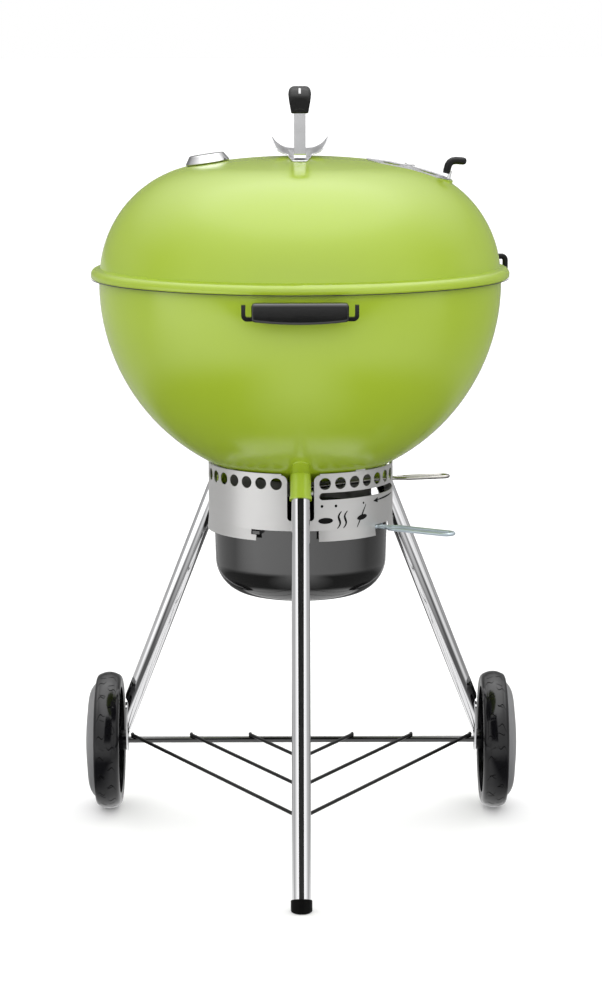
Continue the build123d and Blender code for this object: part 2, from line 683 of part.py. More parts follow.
def lid_heat_shield():
    """Polished saddle under the grip: a trough across, arched lengthwise, oval from above."""
    top = 976.6
    arch = 700.0
    tip = 38.2
    section = [
        Line((-9, 0, top), (9, 0, top)),
        ThreePointArc((9, 0, top), (28.8, 0, top + 7.6), (tip, 0, top + 25)),
        Line((tip, 0, top + 25), (tip + 1, 0, top + 24.7)),
        ThreePointArc((tip + 1, 0, top + 24.7), (29.5, 0, top + 6.9), (9, 0, top - 1)),
        Line((9, 0, top - 1), (-9, 0, top - 1)),
        ThreePointArc((-9, 0, top - 1), (-29.5, 0, top + 6.9), (-tip - 1, 0, top + 24.7)),
        Line((-tip - 1, 0, top + 24.7), (-tip, 0, top + 25)),
        ThreePointArc((-tip, 0, top + 25), (-28.8, 0, top + 7.6), (-9, 0, top)),
    ]
    axis = Axis((0, 0, top - arch), (1, 0, 0))
    face = make_face(section)
    saddle = revolve(face, axis=axis, revolution_arc=9) + revolve(face, axis=axis, revolution_arc=-9)
    saddle &= Pos(0, 0, 940) * extrude(Ellipse(39.4, 92), 100)
    for y in (-66, 66):
        saddle -= Pos(0, y, 970) * Cylinder(3.2, 30)
    return saddle


def lid_post(side):
    """A bright flat bar, bent out of a foot and running up into the grip."""
    run = [(side * 54, 976.3), (side * (POST_AT - 4), 974.6), (side * POST_AT, 980), (side * POST_AT, 1056)]
    line = FilletPolyline(*run, radius=3.5)
    post = extrude(Plane.YZ * trace(line, 2.6), POST_WIDE / 2, both=True)
    return post - Pos(0, side * 66, 970) * Cylinder(3.2, 30)


def lid_handle_grip():
    """Black grip along Y: narrower below than above, with a socket foot at each end."""
    top, underside, foot_end = 1070.2, 1043.0, 1035.0

    def bar_from(low):
        """The section of the grip down to the height low; both sides lean outward."""
        half = 15.8 - 3.8 * (top - low) / (top - foot_end)
        face = make_face(Polyline((-half, low), (half, low), (15.8, top), (-15.8, top), close=True))
        return Plane.XZ * fillet(face.vertices().group_by(Axis.Y)[-1], 8.0)

    grip = extrude(bar_from(underside), GRIP_LONG / 2, both=True)
    for side in (-1, 1):
        foot = extrude(bar_from(foot_end), 9, both=True)
        grip += Pos(0, side * (GRIP_LONG / 2 - 9), 0) * foot
    ends = grip.faces().filter_by(Axis.Y)
    grip = fillet([e for f in (ends.sort_by(Axis.Y)[0], ends.sort_by(Axis.Y)[-1]) for e in f.edges()], 2.5)
    for side in (-1, 1):
        grip -= Pos(0, side * POST_AT, 1040) * Box(POST_WIDE + 0.2, 2.8, 34)
    return grip


def lid_handle_bolts():
    bolts = []
    for side in (-1, 1):
        shank = Pos(0, side * 66, 971) * Cylinder(3.0, 16)
        head = Pos(0, side * 66, 978.9) * Cylinder(6.0, 3.4)
        head = fillet(head.edges().sort_by(Axis.Z)[-1], 1.6)
        nut = extrude(Pos(0, side * 66, 962.6) * RegularPolygon(6, 6), 4.4)
        bolts.append(shank + head + nut)
    return bolts


def damper_disc():
    """Dished disc with four openings, and a rod at its outer edge for the sleeve."""
    disc = dish(DAMPER_R, 1.4, 1.0)
    for hole in damper_holes():
        disc -= hole
    disc -= Cylinder(4.2, 40)
    for turn in range(0, 360, 90):
        rib = Rot(0, 0, turn) * Pos(32, 0, 0) * Box(36, 3, 30)
        disc += dish(DAMPER_R - 4, 2.2, 1.0) & rib
    ear = Pos(58, 0, 0) * Box(16, 15, 40)
    disc += dish(DAMPER_R + 1.7, 1.4, 1.0) & ear
    disc += bar((KNOB_AT, 0, -3.0), (KNOB_AT, 0, 8), 5.0)
    return damper_frame() * disc


def damper_sleeve():
    lean = radians(DAMPER_TILT)
    elbow = (KNOB_AT - 16.5 * sin(lean), 0, 8.5 + 16.5 * cos(lean))
    end = (elbow[0] + 17.2, 0, elbow[2] + 2.6)
    sleeve = rod([(KNOB_AT, 0, 2), (KNOB_AT, 0, 8.5), elbow, end], 10.6, 7.0)
    sleeve += Pos(*end) * Sphere(5.3)
    sleeve += Pos(KNOB_AT, 0, 2.4) * Cylinder(6.2, 3)
    sleeve -= Pos(KNOB_AT, 0, 0) * Cylinder(2.5, 16.4)
    sleeve -= dish(DAMPER_R + 6, 1.4, 20)
    return damper_frame() * sleeve


def damper_rivet():
    rivet = Cylinder(3.0, 8)
    rivet += Pos(0, 0, 3.4) * Cylinder(7.5, 1.8)
    rivet += Pos(0, 0, 1.3) * Cylinder(3.9, 2.4)
    rivet += Pos(0, 0, -2.6) * Cylinder(6.5, 2.4)
    dome = rivet.edges().sort_by(Axis.Z)[-1]
    return damper_frame() * fillet(dome, 0.8)


def gauge_spun(section):
    return gauge_frame() * revolve(make_face(section), axis=Axis.Z)


def outline(points):
    """A closed outline in the XZ plane through (radius, height) points."""
    return Polyline(*[(r, 0, z) for r, z in points], close=True)


def gauge_bezel():
    points = [(0, 0.2), (30, 0.2), (30.6, 1.6), (29.6, 3.2), (24.6, 11.0), (23.4, 12.2), (21.6, 12.2)]
    points += [(21.6, 10.9), (22.6, 10.4), (22.6, 3.0), (0, 3.0)]
    return gauge_spun(outline(points)) - gauge_frame() * Cylinder(3.2, 40)


def gauge_dial():
    return gauge_spun(outline([(3.3, 5.2), (22.4, 5.2), (22.4, 6.0), (3.3, 6.0)]))


def gauge_lens():
    rise = [(0, 10.6), (0, 11.6), (10, 11.5), (18, 11.2), (21.4, 10.9), (21.4, 9.9), (18, 10.2), (10, 10.5)]
    return gauge_spun(outline(rise))


def gauge_stem():
    stem = Pos(0, 0, -19.5) * Cylinder(3.1, 50.4)
    stem += Pos(0, 0, -45) * Sphere(3.1)
    collar = Pos(0, 0, 4.1) * Cylinder(8, 2.0)
    return gauge_frame() * (stem + collar)


def gauge_nut():
    nut = extrude(RegularPolygon(9.5, 6), 5) - Cylinder(3.2, 20)
    ears = Pos(13, 0, 1) * Box(12, 3, 7) + Pos(-13, 0, 1) * Box(12, 3, 7)
    return gauge_frame() * Pos(0, 0, -6.4) * (nut + ears)


def gauge_pointer():
    arrow = Polyline((-1.6, -6), (1.6, -6), (0.9, 2), (0.5, 17), (-0.5, 17), (-0.9, 2), close=True)
    needle = Pos(0, 0, 7.2) * extrude(make_face(arrow), 0.7) + Pos(0, 0, 7.75) * Cylinder(2.6, 1.5)
    return gauge_frame() * Rot(0, 0, 125) * needle


def chord(radius, x):
    return sqrt(radius**2 - x**2)


def grate_frame():
    """The hoop of the cooking grate with its three cross bars."""
    bars = []
    for y in (-150, 0, 150):
        reach = chord(COOK_R - 0.7, y)
        bars.append(bar((-reach, y, COOK_Z - 4.6), (reach, y, COOK_Z - 4.6), 6.0))
    hoop = Cylinder(COOK_R + 3.0, 6.4) - Cylinder(COOK_R - 3.0, 10)
    hoop = fillet(hoop.edges().filter_by(GeomType.CIRCLE), 2.0)
    return Pos(0, 0, COOK_Z) * hoop + bars


def grate_bars():
    """The fixed middle rows, which end in the two hinge bars; end bars tie the rows together."""
    bars = []
    for n in range(-5, 6):
        x = 19.6 * n
        reach = chord(COOK_R - 3.2, x)
        bars.append(bar((x, -reach, COOK_Z), (x, reach, COOK_Z), 4.6))
    for side in (-1, 1):
        reach = chord(COOK_R - 3.2, LEAF_X)
        bars.append(bar((side * LEAF_X, -reach, COOK_Z), (side * LEAF_X, reach, COOK_Z), 5.0))
    for y in (-225, 225):
        bars.append(bar((-LEAF_X, y, COOK_Z - 2.5), (LEAF_X, y, COOK_Z - 2.5), 4.6))
    return bars[0] + bars[1:]


def grate_leaf(side):
    """A hinged leaf: bars in the same rows, with two curls around the hinge bar."""
    edge = LEAF_X + 12.0
    rim = COOK_R - 10.0
    z = COOK_Z + 1.2
    bars = []
    for n in range(7):
        x = edge + 17.5 * n
        reach = chord(rim, x)
        bars.append(bar((x, -reach, z), (x, reach, z), 4.6))
    for y in (-90, 90):
        reach = chord(rim, y)
        bars.append(bar((LEAF_X + 3.2, y, z + 3.8), (reach, y, z + 3.8), 4.6))
        bars.append(Pos(LEAF_X, y, COOK_Z) * Rot(90, 0, 0) * (Cylinder(6.0, 5) - Cylinder(2.9, 9)))
    hoop = Pos(0, 0, z) * Torus(rim, 2.6) & Pos(edge + 200, 0, z) * Box(400, 600, 20)
    leaf = hoop + bars
    return leaf if side > 0 else mirror(leaf, about=Plane.YZ)


def charcoal_grate():
    bars = []
    for n in range(-9, 10):
        x = 22.4 * n
        reach = chord(COAL_R, x)
        bars.append(bar((x, -reach, COAL_Z), (x, reach, COAL_Z), 6.0))
    for y in (-140, -45, 45, 140):
        reach = chord(COAL_R, y) - 2
        bars.append(bar((-reach, y, COAL_Z + 5.4), (reach, y, COAL_Z + 5.4), 6.0))
    return bars[0] + bars[1:]


def main():
    made = {
        "bowl_shell": bowl_shell(),
        "leg_front": front_leg(),
        "leg_left": rear_leg(-1),
        "leg_right": rear_leg(1),
        "foot_cap": foot_cap(),
        "axle": axle(),
        "axle_nut_left": axle_nut(-1),
        "axle_nut_right": axle_nut(1),
        "bottom_rack": bottom_rack(),
        "ash_ring": ash_ring(),
        "ash_ring_rivets": Compound(ash_ring_rivets()),
        "sweep_blades": sweep_blades(),
        "sweep_lever": sweep_lever(),
        "sweep_cotter": Compound(list(sweep_cotter())),
        "ash_pot": ash_pot(),
        "ash_pot_handle": ash_pot_handle(),
        "lid_hanger": lid_hanger(),
        "cooking_grate_tabs": Compound(grate_tabs(COOK_Z - 3.5, 16, (45, 135, 225, 315))),
        "charcoal_grate_tabs": Compound(grate_tabs(COAL_Z - 3.3, 12, (30, 150, 210, 330))),
        "lid_shell": lid_shell(),
        "lid_heat_shield": lid_heat_shield(),
        "lid_post_front": lid_post(-1),
        "lid_post_rear": lid_post(1),
        "lid_handle_grip": lid_handle_grip(),
        "lid_handle_bolts": Compound(lid_handle_bolts()),
        "damper_disc": damper_disc(),
        "damper_sleeve": damper_sleeve(),
        "damper_rivet": damper_rivet(),
        "gauge_bezel": gauge_bezel(),
        "gauge_dial": gauge_dial(),
        "gauge_lens": gauge_lens(),
        "gauge_stem": gauge_stem(),
        "gauge_nut": gauge_nut(),
        "gauge_pointer": gauge_pointer(),
        "grate_frame": grate_frame(),
        "grate_bars": grate_bars(),
        "grate_leaf_left": grate_leaf(-1),
        "grate_leaf_right": grate_leaf(1),
        "charcoal_grate": charcoal_grate(),
    }
    grip, bolts = bowl_handle(), Compound(bowl_handle_bolts())
    for name, phi in (("front", 0), ("rear", 180)):
        made["handle_" + name + "_grip"] = around(phi) * grip
        made["handle_" + name + "_bolts"] = around(phi) * bolts
    socket, button, spring = leg_socket(), snap_button(), button_spring()
    for name, phi in LEG_PHIS.items():
        made["leg_socket_" + name] = around(phi) * socket
        made["snap_button_" + name] = around(phi) * button
        made["button_spring_" + name] = around(phi) * spring
    body, cap = wheel_body(), wheel_cap()
    for name, side in (("left", -1), ("right", 1)):
        made["wheel_" + name] = on_axle(side, body)
        made["hubcap_" + name] = on_axle(side, cap)
    for name, shape in made.items():
        export_step(Pos(0, FRAME_SHIFT, 0) * shape, "parts/" + name + ".step")


main()
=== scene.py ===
import json
import math

import bmesh
import bpy
from mathutils import Matrix, Vector


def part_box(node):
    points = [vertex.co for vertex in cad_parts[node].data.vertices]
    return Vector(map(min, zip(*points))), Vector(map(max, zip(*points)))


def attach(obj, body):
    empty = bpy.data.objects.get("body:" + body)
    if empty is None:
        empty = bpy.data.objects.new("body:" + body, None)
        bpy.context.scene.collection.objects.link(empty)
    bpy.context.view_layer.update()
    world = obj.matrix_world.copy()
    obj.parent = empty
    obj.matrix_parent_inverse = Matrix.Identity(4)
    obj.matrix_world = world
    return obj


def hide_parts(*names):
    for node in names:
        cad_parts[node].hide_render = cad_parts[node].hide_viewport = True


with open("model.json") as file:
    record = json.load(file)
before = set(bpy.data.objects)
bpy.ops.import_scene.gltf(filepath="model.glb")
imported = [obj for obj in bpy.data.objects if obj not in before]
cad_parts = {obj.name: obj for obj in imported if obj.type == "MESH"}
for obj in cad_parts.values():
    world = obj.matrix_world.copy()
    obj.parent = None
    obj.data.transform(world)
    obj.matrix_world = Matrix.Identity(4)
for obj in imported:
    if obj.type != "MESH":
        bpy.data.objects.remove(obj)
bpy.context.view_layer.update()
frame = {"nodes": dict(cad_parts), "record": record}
nodes = frame["nodes"]
scene = bpy.context.scene

# The kettle axis: the middle of the bowl in plan
bowl_low, bowl_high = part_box("bowl_shell")
AXIS_Y = (bowl_low.y + bowl_high.y) / 2


# Shading helpers

def add(tree, kind, **values):
    """A node with its sockets set by name; a value may be a number, a colour or another node's output."""
    node = tree.nodes.new(kind)
    for key, value in values.items():
        socket = key.replace("_", " ")
        if isinstance(value, bpy.types.NodeSocket):
            tree.links.new(value, node.inputs[socket])
        elif socket in node.inputs:
            node.inputs[socket].default_value = value
        else:
            setattr(node, key, value)
    return node


def new_group(name, inputs, outputs):
    tree = bpy.data.node_groups.new(name, "ShaderNodeTree")
    for label, kind, value in inputs:
        socket = tree.interface.new_socket(label, in_out="INPUT", socket_type=kind)
        socket.default_value = value
    for label, kind in outputs:
        tree.interface.new_socket(label, in_out="OUTPUT", socket_type=kind)
    return tree, tree.nodes.new("NodeGroupInput"), tree.nodes.new("NodeGroupOutput")


def make_mottle():
    """Slow cloudy change between two colours, with a finer speckle over it."""
    tree, into, out = new_group(
        "mottle",
        [("Colour A", "NodeSocketColor", (0.5, 0.5, 0.5, 1)), ("Colour B", "NodeSocketColor", (0.4, 0.4, 0.4, 1)),
         ("Scale", "NodeSocketFloat", 8.0)],
        [("Colour", "NodeSocketColor"), ("Value", "NodeSocketFloat")],
    )
    where = add(tree, "ShaderNodeTexCoord").outputs["Object"]
    slow = add(tree, "ShaderNodeTexNoise", Vector=where, Scale=into.outputs["Scale"], Detail=3.0)
    fine = add(tree, "ShaderNodeTexNoise", Vector=where, Scale=900.0, Detail=2.0)
    both = add(tree, "ShaderNodeMath", operation="MULTIPLY_ADD")
    tree.links.new(fine.outputs["Fac"], both.inputs[0])
    both.inputs[1].default_value = 0.25
    tree.links.new(slow.outputs["Fac"], both.inputs[2])
    mix = tree.nodes.new("ShaderNodeMix")
    mix.data_type = "RGBA"
    tree.links.new(both.outputs[0], mix.inputs["Factor"])
    tree.links.new(into.outputs["Colour A"], mix.inputs["A"])
    tree.links.new(into.outputs["Colour B"], mix.inputs["B"])
    colour = [s for s in mix.outputs if s.type == "RGBA"][0]
    tree.links.new(colour, out.inputs["Colour"])
    tree.links.new(both.outputs[0], out.inputs["Value"])
    return tree


def make_ripple():
    """A faint uneven surface: orange peel in enamel, or the grain of a moulding."""
    tree, into, out = new_group(
        "ripple",
        [("Scale", "NodeSocketFloat", 120.0), ("Strength", "NodeSocketFloat", 0.05),
         ("Depth", "NodeSocketFloat", 0.0003)],
        [("Normal", "NodeSocketVector")],
    )
    where = add(tree, "ShaderNodeTexCoord").outputs["Object"]
    noise = add(tree, "ShaderNodeTexNoise", Vector=where, Scale=into.outputs["Scale"], Detail=2.0)
    bump = add(tree, "ShaderNodeBump", Height=noise.outputs["Fac"], Strength=into.outputs["Strength"],
               Distance=into.outputs["Depth"])
    tree.links.new(bump.outputs["Normal"], out.inputs["Normal"])
    return tree


def make_streaks():
    """Fine lines along one direction, as rolling or drawing leaves them in metal."""
    tree, into, out = new_group(
        "streaks",
        [("Stretch", "NodeSocketVector", (400.0, 400.0, 8.0)), ("Low", "NodeSocketFloat", 0.1),
         ("High", "NodeSocketFloat", 0.3)],
        [("Value", "NodeSocketFloat")],
    )
    where = add(tree, "ShaderNodeTexCoord").outputs["Object"]
    scaled = add(tree, "ShaderNodeVectorMath", operation="MULTIPLY")
    tree.links.new(where, scaled.inputs[0])
    tree.links.new(into.outputs["Stretch"], scaled.inputs[1])
    noise = add(tree, "ShaderNodeTexNoise", Vector=scaled.outputs[0], Scale=1.0, Detail=3.0)
    spread = add(tree, "ShaderNodeMapRange", Value=noise.outputs["Fac"], To_Min=into.outputs["Low"],
                 To_Max=into.outputs["High"])
    tree.links.new(spread.outputs["Result"], out.inputs["Value"])
    return tree


MOTTLE = make_mottle()
RIPPLE = make_ripple()
STREAKS = make_streaks()


def use(tree, group, **values):
    node = tree.nodes.new("ShaderNodeGroup")
    node.node_tree = group
    for key, value in values.items():
        node.inputs[key.replace("_", " ")].default_value = value
    return node


def material(name, dark, light, scale, rough, metal=0.0, coat=0.0, ripple=None, stretch=None, extra=None):
    """Two close colours clouded together, a changing roughness and, if asked for, a faint ripple."""
    m = bpy.data.materials.new(name)
    m.use_nodes = True
    tree = m.node_tree
    tree.nodes.clear()
    out = tree.nodes.new("ShaderNodeOutputMaterial")
    skin = tree.nodes.new("ShaderNodeBsdfPrincipled")
    tree.links.new(skin.outputs["BSDF"], out.inputs["Surface"])
    tone = use(tree, MOTTLE, Colour_A=(*dark, 1), Colour_B=(*light, 1), Scale=scale)
    tree.links.new(tone.outputs["Colour"], skin.inputs["Base Color"])
    lines = use(tree, STREAKS, Stretch=stretch or (90.0, 90.0, 90.0), Low=rough[0], High=rough[1])
    tree.links.new(lines.outputs["Value"], skin.inputs["Roughness"])
    skin.inputs["Metallic"].default_value = metal
    skin.inputs["Coat Weight"].default_value = coat
    skin.inputs["Coat Roughness"].default_value = 0.06
    if ripple:
        bump = use(tree, RIPPLE, Scale=ripple[0], Strength=ripple[1], Depth=ripple[2])
        tree.links.new(bump.outputs["Normal"], skin.inputs["Normal"])
    for key, value in (extra or {}).items():
        skin.inputs[key].default_value = value
    return m


LIME = material("lime_enamel", (0.330, 0.462, 0.018), (0.350, 0.484, 0.022), 5.0, (0.18, 0.24),
                ripple=(140.0, 0.06, 0.0004), extra={"Specular IOR Level": 0.7})
BLACK_ENAMEL = material("black_enamel", (0.003, 0.003, 0.003), (0.005, 0.005, 0.005), 9.0, (0.06, 0.10),
                        ripple=(150.0, 0.06, 0.0004), extra={"Specular IOR Level": 0.9})
CHROME = material("bright_tube", (0.70, 0.70, 0.71), (0.76, 0.76, 0.77), 10.0, (0.04, 0.09), metal=1.0,
                  stretch=(500.0, 500.0, 12.0))
POLISHED = material("polished_steel", (0.80, 0.80, 0.81), (0.86, 0.86, 0.87), 14.0, (0.07, 0.14), metal=1.0,
                    stretch=(60.0, 500.0, 60.0))
RING = material("ring_sheet", (0.52, 0.515, 0.51), (0.57, 0.565, 0.56), 20.0, (0.30, 0.44), metal=0.75,
                stretch=(40.0, 40.0, 700.0))
DAMPER = material("damper_sheet", (0.70, 0.70, 0.71), (0.78, 0.78, 0.79), 20.0, (0.22, 0.34), metal=0.9,
                  stretch=(60.0, 600.0, 60.0))
ZINC = material("zinc_wire", (0.42, 0.50, 0.56), (0.52, 0.59, 0.64), 40.0, (0.24, 0.38), metal=0.55)
NICKEL = material("nickel_wire", (0.40, 0.385, 0.37), (0.48, 0.465, 0.445), 40.0, (0.22, 0.34), metal=1.0)
PLATED = material("plated_steel", (0.56, 0.56, 0.56), (0.64, 0.64, 0.64), 30.0, (0.22, 0.38), metal=1.0)
BLACK_WIRE = material("black_wire", (0.005, 0.005, 0.005), (0.009, 0.009, 0.009), 30.0, (0.30, 0.42),
                      extra={"Specular IOR Level": 0.15})
AXLE = material("axle_rod", (0.004, 0.004, 0.004), (0.007, 0.007, 0.007), 30.0, (0.06, 0.10),
                extra={"Specular IOR Level": 1.0})
HANDLE = material("handle_nylon", (0.002, 0.002, 0.002), (0.004, 0.004, 0.004), 40.0, (0.20, 0.30),
                  ripple=(900.0, 0.25, 0.0003), extra={"Specular IOR Level": 0.7})
NYLON = material("black_nylon", (0.002, 0.002, 0.002), (0.004, 0.004, 0.004), 40.0, (0.22, 0.34),
                 ripple=(900.0, 0.25, 0.0003), extra={"Specular IOR Level": 0.24})
RUBBER = material("foot_rubber", (0.0015, 0.0015, 0.0015), (0.003, 0.003, 0.003), 40.0, (0.45, 0.60),
                  ripple=(900.0, 0.25, 0.0003), extra={"Specular IOR Level": 0.06})
# Dark ground coat of the lid's lower edge, also painted shadow of the gap between lid and bowl
LIP_COAT_AND_SHADOW = material("lip_coat_and_gap_shadow", (0.010, 0.012, 0.004), (0.018, 0.020, 0.008), 40.0, (0.40, 0.55))
GROOVE = material("tread_groove", (0.002, 0.002, 0.002), (0.004, 0.004, 0.004), 40.0, (0.50, 0.65),
                  extra={"Specular IOR Level": 0.05})
TYRE = material("tyre_plastic", (0.002, 0.002, 0.003), (0.004, 0.004, 0.005), 25.0, (0.11, 0.19),
                ripple=(60.0, 0.10, 0.002), extra={"Specular IOR Level": 0.34})
CAP = material("cap_plastic", (0.165, 0.165, 0.17), (0.20, 0.20, 0.205), 20.0, (0.30, 0.42),
               ripple=(600.0, 0.1, 0.0002))
BEZEL = material("bezel_steel", (0.42, 0.42, 0.425), (0.50, 0.50, 0.505), 14.0, (0.10, 0.18), metal=1.0)
SHIELD = material("shield_steel", (0.60, 0.60, 0.61), (0.68, 0.68, 0.69), 14.0, (0.34, 0.46), metal=1.0,
                  stretch=(60.0, 500.0, 60.0))
DIAL = material("dial_face", (0.80, 0.79, 0.74), (0.86, 0.85, 0.80), 60.0, (0.40, 0.55))
POINTER = material("pointer_paint", (0.45, 0.02, 0.015), (0.55, 0.03, 0.02), 80.0, (0.35, 0.50))
PRINT = material("printed_mark", (0.003, 0.003, 0.003), (0.006, 0.006, 0.006), 60.0, (0.45, 0.60),
                 extra={"Specular IOR Level": 0.1})
# Pale grey for a strip laid along the top of the lid grip near each end
PALE = material("pale_top_strip", (0.62, 0.62, 0.62), (0.70, 0.70, 0.70), 60.0, (0.40, 0.55))
LENS = material("lens_glass", (0.95, 0.97, 0.97), (0.98, 0.99, 0.99), 30.0, (0.01, 0.03),
                extra={"Transmission Weight": 1.0, "IOR": 1.45})

FINISH = {
    "lime_enamel": LIME, "tabs_enamel": LIME, "black_enamel": BLACK_ENAMEL, "bright_tube": CHROME,
    "polished_steel": POLISHED, "ring_sheet": RING, "damper_sheet": DAMPER, "zinc_wire": ZINC,
    "nickel_wire": NICKEL, "plated_steel": PLATED, "black_wire": BLACK_WIRE, "black_nylon": NYLON,
    "tyre_plastic": TYRE, "cap_plastic": CAP, "dial_face": DIAL, "pointer_paint": POINTER, "lens_glass": LENS,
}
OWN_FINISH = {"gauge_bezel": BEZEL, "lid_heat_shield": SHIELD, "foot_cap": RUBBER, "axle": AXLE,
              "handle_front_grip": HANDLE, "handle_rear_grip": HANDLE}
slot_of = {s["node"]: s["material_slot"] for s in frame["record"]["subparts"]}

for name, obj in nodes.items():
    obj.data.materials.clear()
    obj.data.materials.append(OWN_FINISH.get(name) or FINISH[slot_of[name]])


# Marks on the ash ring: generic signs for the air lever, printed on the sheet to the right of the front leg

RING_MM = 130.0
RING_R = RING_MM / 1000
PRINT_RISE = 0.00012

def mesh_piece(name, points, faces, finish, body):
    mesh = bpy.data.meshes.new(name)
    mesh.from_pydata([Vector(p) for p in points], [], faces)
    mesh.materials.append(finish)
    obj = bpy.data.objects.new(name, mesh)
    scene.collection.objects.link(obj)
    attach(obj, body)
    return obj


def ring_spot(angle, z):
    """A place on the ring's outer face; the angle in degrees runs to the right from the front, z is in mm."""
    turn = math.radians(angle)
    reach = RING_R + PRINT_RISE
    return (reach * math.sin(turn), AXIS_Y - reach * math.cos(turn), z / 1000)


def oval(angle, z, wide, high, lean=0.0):
    """Upper and lower edge of an oval mark, half sizes in mm, leaning by degrees."""
    c, d = math.cos(math.radians(lean)), math.sin(math.radians(lean))
    upper, lower = [], []
    for k in range(25):
        u = -wide * math.cos(math.pi * k / 24)
        v = high * math.sin(math.pi * k / 24)
        upper.append((angle + math.degrees((u * c - v * d) / RING_MM), z + u * d + v * c))
        lower.append((angle + math.degrees((u * c + v * d) / RING_MM), z + u * d - v * c))
    return upper, lower


def stroke(path, width):
    """Outline of a line of the given width in mm along a path of (angle, z), thinner toward its ends."""
    left, right = [], []
    for n, (angle, z) in enumerate(path):
        before, after = path[max(n - 1, 0)], path[min(n + 1, len(path) - 1)]
        du = math.radians(after[0] - before[0]) * RING_MM
        dv = after[1] - before[1]
        long = math.hypot(du, dv)
        share = 0.35 + 0.65 * math.sin(math.pi * n / (len(path) - 1))
        off = width / 2 * share
        left.append((angle - math.degrees(off * dv / long / RING_MM), z + off * du / long))
        right.append((angle + math.degrees(off * dv / long / RING_MM), z - off * du / long))
    return left, right


def ring_marks():
    points, faces = [], []

    def fill(upper, lower):
        first = len(points)
        for a, b in zip(upper, lower):
            points.extend((ring_spot(*a), ring_spot(*b)))
        for n in range(len(upper) - 1):
            k = first + 2 * n
            faces.append((k, k + 1, k + 3, k + 2))

    for angle, z, size in ((13.0, 502.0, 2.0), (21.9, 501.6, 2.0), (41.9, 502.0, 1.5)):
        fill(*oval(angle, z, size, size))
    fill(*oval(15.3, 481.6, 10.6, 4.2))
    for start in (24.2, 28.3):
        wave = []
        for n in range(13):
            share = n / 12
            sway = 1.15 * math.sin(math.tau * share)
            wave.append((start + 1.4 * (2 * share - 1) + sway, 470.0 + 23.5 * share))
        fill(*stroke(wave, 3.2))
    fill(*oval(40.8, 482.4, 9.0, 3.6, 8.0))
    fill(*stroke([(36.8 + 0.72 * n, 469.0 + 3.1 * n) for n in range(11)], 2.4))
    fill(*stroke([(78.0 - 2.1 * n, 505.3 - 0.24 * n) for n in range(13)], 2.6))
    head = [(50.6 + 1.2 * n, 502.2 + 0.06 * n) for n in range(5)]
    fill([(a, z + 0.9 * n) for n, (a, z) in enumerate(head)], [(a, z - 0.9 * n) for n, (a, z) in enumerate(head)])
    mesh_piece("ring_marks", points, faces, PRINT, "stand")


ring_marks()


# Pieces dressed over the solids, in mm

AXIS_MM = AXIS_Y * 1000
GRIP_TOP = 1068.8
GRIP_HALF = 83.0
LID_RIM_R = 292.0
LIP_EDGE = (806.4, 807.5)
LIP_RISE = 0.1
GAUGE_TILT = 8.27
GAUGE_SWEEP = 250
DIAL_STROKES = 26
TREAD_R = 101.5
TREAD_X = 286.0
TREAD_LINES = 20

def skin(name, rows, finish, body, closed=False, caps=False):
    """A smooth skin through rows of points in mm; closed rows make a tube, and caps close its two ends."""
    n = len(rows[0])
    points = [(p[0] / 1000, p[1] / 1000, p[2] / 1000) for row in rows for p in row]
    faces = []
    for r in range(len(rows) - 1):
        for k in range(n if closed else n - 1):
            a, b = r * n + k, r * n + (k + 1) % n
            faces.append((a, b, b + n, a + n))
    if caps:
        faces.append(tuple(reversed(range(n))))
        faces.append(tuple(range(len(points) - n, len(points))))
    obj = mesh_piece(name, points, faces, finish, body)
    shape = bmesh.new()
    shape.from_mesh(obj.data)
    bmesh.ops.recalc_face_normals(shape, faces=shape.faces)
    shape.to_mesh(obj.data)
    shape.free()
    for face in obj.data.polygons:
        face.use_smooth = len(face.vertices) == 4
    return obj


def tube(path, radii, y):
    """Rows of points around a path of (x, z) in the upright plane at y, all in mm."""
    rows = []
    for n, (x, z) in enumerate(path):
        before, after = path[max(n - 1, 0)], path[min(n + 1, len(path) - 1)]
        dx, dz = after[0] - before[0], after[1] - before[1]
        long = math.hypot(dx, dz)
        row = []
        for k in range(20):
            a = math.tau * k / 20
            side, deep = radii[n] * math.cos(a), radii[n] * math.sin(a)
            row.append((x - side * dz / long, y + deep, z + side * dx / long))
        rows.append(row)
    return rows


def bar_outline(half_low, half_top, low, top, r_low, r_top):
    """Closed outline across a bar: a trapezium with rounded corners."""
    out = []
    corners = ((half_low - r_low, low + r_low, r_low, -90), (half_top - r_top, top - r_top, r_top, 0),
               (r_top - half_top, top - r_top, r_top, 90), (r_low - half_low, low + r_low, r_low, 180))
    for x, z, r, first in corners:
        for k in range(9):
            a = math.radians(first + 90 * k / 8)
            out.append((x + r * math.cos(a), z + r * math.sin(a)))
    return out


def eased(value, start, end):
    share = min(max((value - start) / (end - start), 0.0), 1.0)
    return share * share * (3 - 2 * share)


def grip_top(end):
    """Height of the grip's upper face at a distance from its end: it slopes back from the end."""
    return GRIP_TOP - 11.0 * max(0.0, 1 - end / 13.0) ** 1.5


